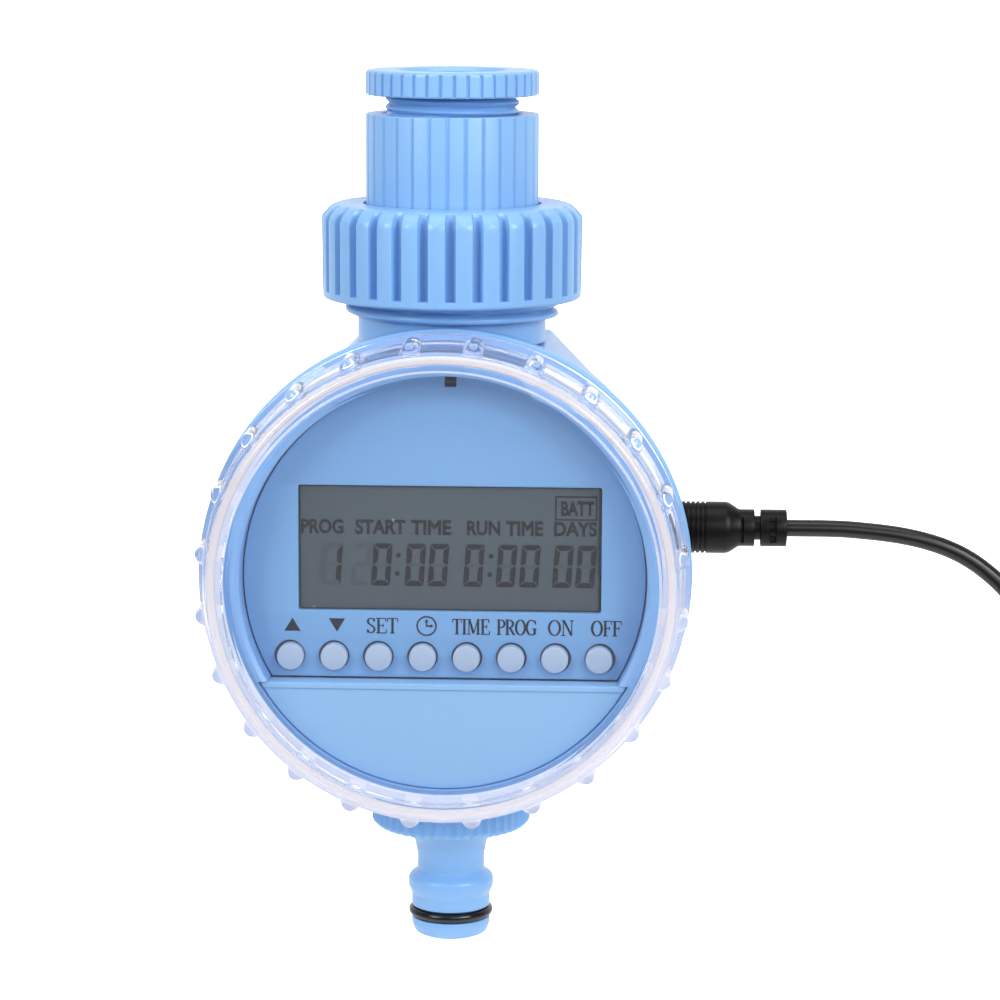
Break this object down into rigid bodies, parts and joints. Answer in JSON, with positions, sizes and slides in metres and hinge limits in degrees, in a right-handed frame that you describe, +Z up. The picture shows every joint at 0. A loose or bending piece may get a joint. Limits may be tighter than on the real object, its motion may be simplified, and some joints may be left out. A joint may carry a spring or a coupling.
{
  "type": "drip irrigation timer",
  "caption": "Tap-mounted water timer: ribbed inlet nut over a round dial with display and buttons under a clear screw cover, hose nipple below and power lead at the side.",
  "frame": {"origin": "centre of the tap adaptor's top opening, on the inlet and outlet axis", "axes": "+Z up along the water path, out of the inlet; -Y out of the dial; +X to the right seen from the front"},
  "size_m": [0.181, 0.0686, 0.175],
  "materials": {
    "housing_blue": "moulded ABS, satin gloss",
    "panel_blue": "moulded ABS, fine matt face",
    "door_blue": "moulded ABS, satin gloss",
    "button_cap": "matt moulded cap",
    "clear_plastic": "clear moulded polycarbonate",
    "lcd_glass": "reflective liquid crystal display",
    "cream_rubber": "soft silicone",
    "black_rubber": "black rubber",
    "cable_black": "satin black PVC sheath",
    "plug_black": "satin black overmould",
    "white_plastic": "natural acetal",
    "steel": "bright steel",
    "brass": "turned brass",
    "circuit_green": "solder-masked board"
  },
  "bodies": {
    "housing": {"rear_housing": "housing_blue", "front_housing": "housing_blue", "face_panel": "panel_blue", "lower_panel": "door_blue", "lcd_window": "clear_plastic", "lcd_module": "lcd_glass", "key_mat": "cream_rubber", "stem_oring": "black_rubber", "housing_seal": "black_rubber", "dc_socket": "plug_black", "filter_screen": "white_plastic", "valve_body": "white_plastic", "valve_tailpiece": "white_plastic", "seat_upper": "white_plastic", "seat_lower": "white_plastic", "battery_tray": "white_plastic", "gear_plate": "steel", "gear_motor": "steel", "battery_left": "steel", "battery_right": "steel", "battery_spring_left": "steel", "battery_spring_right": "steel", "housing_screw_1": "steel", "housing_screw_2": "steel", "housing_screw_3": "steel", "housing_screw_4": "steel", "main_pcb": "circuit_green"},
    "inlet_seal": {"inlet_gasket": "black_rubber"},
    "nut": {"inlet_nut": "housing_blue"},
    "sleeve": {"tap_sleeve": "housing_blue"},
    "sleeve_washer": {"tap_washer": "black_rubber"},
    "adaptor": {"tap_adaptor": "housing_blue", "adaptor_washer": "black_rubber"},
    "cover_seal": {"cover_gasket": "cream_rubber"},
    "cover": {"clear_cover": "clear_plastic"},
    "outlet_seal": {"outlet_washer": "black_rubber"},
    "nipple": {"outlet_nipple": "housing_blue", "nipple_oring": "black_rubber"},
    "valve": {"valve_ball": "steel", "valve_stem": "brass", "output_gear": "white_plastic"},
    "idler": {"idler_gear": "white_plastic"},
    "pinion": {"motor_pinion": "brass"},
    "power_plug": {"dc_plug_body": "plug_black", "dc_plug_barrel": "steel", "dc_strain_relief": "plug_black", "power_cable": "cable_black", "cable_coil": "cable_black", "coil_tie": "plug_black", "cable_tail": "cable_black", "usb_plug_body": "plug_black", "usb_plug_shell": "steel"},
    "key_1": {"button_1": "button_cap"},
    "key_2": {"button_2": "button_cap"},
    "key_3": {"button_3": "button_cap"},
    "key_4": {"button_4": "button_cap"},
    "key_5": {"button_5": "button_cap"},
    "key_6": {"button_6": "button_cap"},
    "key_7": {"button_7": "button_cap"},
    "key_8": {"button_8": "button_cap"}
  },
  "joints": [
    {"name": "inlet_lift", "type": "slide", "parent": "housing", "child": "inlet_seal", "axis": [0, 0, 1], "range_m": [0, 0.00694]},
    {"name": "nut_turn", "type": "hinge", "parent": "inlet_seal", "child": "nut", "pos_m": [0, 0, 0], "axis": [0, 0, 1], "range_deg": [0, 1080]},
    {"name": "sleeve_swivel", "type": "hinge", "parent": "inlet_seal", "child": "sleeve", "pos_m": [0, 0, 0], "axis": [0, 0, 1], "continuous": true},
    {"name": "adaptor_lift", "type": "slide", "parent": "sleeve", "child": "sleeve_washer", "axis": [0, 0, 1], "range_m": [0, 0.0118]},
    {"name": "adaptor_turn", "type": "hinge", "parent": "sleeve_washer", "child": "adaptor", "pos_m": [0, 0, 0], "axis": [0, 0, 1], "range_deg": [0, 2340]},
    {"name": "cover_lift", "type": "slide", "parent": "housing", "child": "cover_seal", "axis": [0, -1, 0], "range_m": [0, 0.00801]},
    {"name": "cover_turn", "type": "hinge", "parent": "cover_seal", "child": "cover", "pos_m": [0, 0, -0.0967], "axis": [0, -1, 0], "range_deg": [0, 720]},
    {"name": "outlet_drop", "type": "slide", "parent": "housing", "child": "outlet_seal", "axis": [0, 0, -1], "range_m": [0, 0.00545]},
    {"name": "outlet_turn", "type": "hinge", "parent": "outlet_seal", "child": "nipple", "pos_m": [0, 0, 0], "axis": [0, 0, -1], "range_deg": [0, 1080]},
    {"name": "valve_turn", "type": "hinge", "parent": "housing", "child": "valve", "pos_m": [0, 0, -0.08], "axis": [0, 1, 0], "range_deg": [0, 90]},
    {"name": "idler_turn", "type": "hinge", "parent": "housing", "child": "idler", "pos_m": [-0.0079, 0, -0.0948], "axis": [0, 1, 0], "range_deg": [-270, 0]},
    {"name": "pinion_turn", "type": "hinge", "parent": "housing", "child": "pinion", "pos_m": [-0.0245, 0, -0.092], "axis": [0, 1, 0], "range_deg": [0, 810]},
    {"name": "plug_pull", "type": "slide", "parent": "housing", "child": "power_plug", "axis": [1, 0, 0], "range_m": [0, 0.012]},
    {"name": "key_1_press", "type": "slide", "parent": "housing", "child": "key_1", "axis": [0, 1, 0], "range_m": [0, 0.0008], "stiffness_N_per_m": 300},
    {"name": "key_2_press", "type": "slide", "parent": "housing", "child": "key_2", "axis": [0, 1, 0], "range_m": [0, 0.0008], "stiffness_N_per_m": 300},
    {"name": "key_3_press", "type": "slide", "parent": "housing", "child": "key_3", "axis": [0, 1, 0], "range_m": [0, 0.0008], "stiffness_N_per_m": 300},
    {"name": "key_4_press", "type": "slide", "parent": "housing", "child": "key_4", "axis": [0, 1, 0], "range_m": [0, 0.0008], "stiffness_N_per_m": 300},
    {"name": "key_5_press", "type": "slide", "parent": "housing", "child": "key_5", "axis": [0, 1, 0], "range_m": [0, 0.0008], "stiffness_N_per_m": 300},
    {"name": "key_6_press", "type": "slide", "parent": "housing", "child": "key_6", "axis": [0, 1, 0], "range_m": [0, 0.0008], "stiffness_N_per_m": 300},
    {"name": "key_7_press", "type": "slide", "parent": "housing", "child": "key_7", "axis": [0, 1, 0], "range_m": [0, 0.0008], "stiffness_N_per_m": 300},
    {"name": "key_8_press", "type": "slide", "parent": "housing", "child": "key_8", "axis": [0, 1, 0], "range_m": [0, 0.0008], "stiffness_N_per_m": 300}
  ],
  "couplings": [
    {"joint": "inlet_lift", "follows": "nut_turn", "m_per_rad": 0.00036749},
    {"joint": "adaptor_lift", "follows": "adaptor_turn", "m_per_rad": 0.00028871},
    {"joint": "cover_lift", "follows": "cover_turn", "m_per_rad": 0.00063662},
    {"joint": "outlet_drop", "follows": "outlet_turn", "m_per_rad": 0.00028871},
    {"joint": "idler_turn", "follows": "valve_turn", "ratio": -3},
    {"joint": "pinion_turn", "follows": "valve_turn", "ratio": 9}
  ]
}
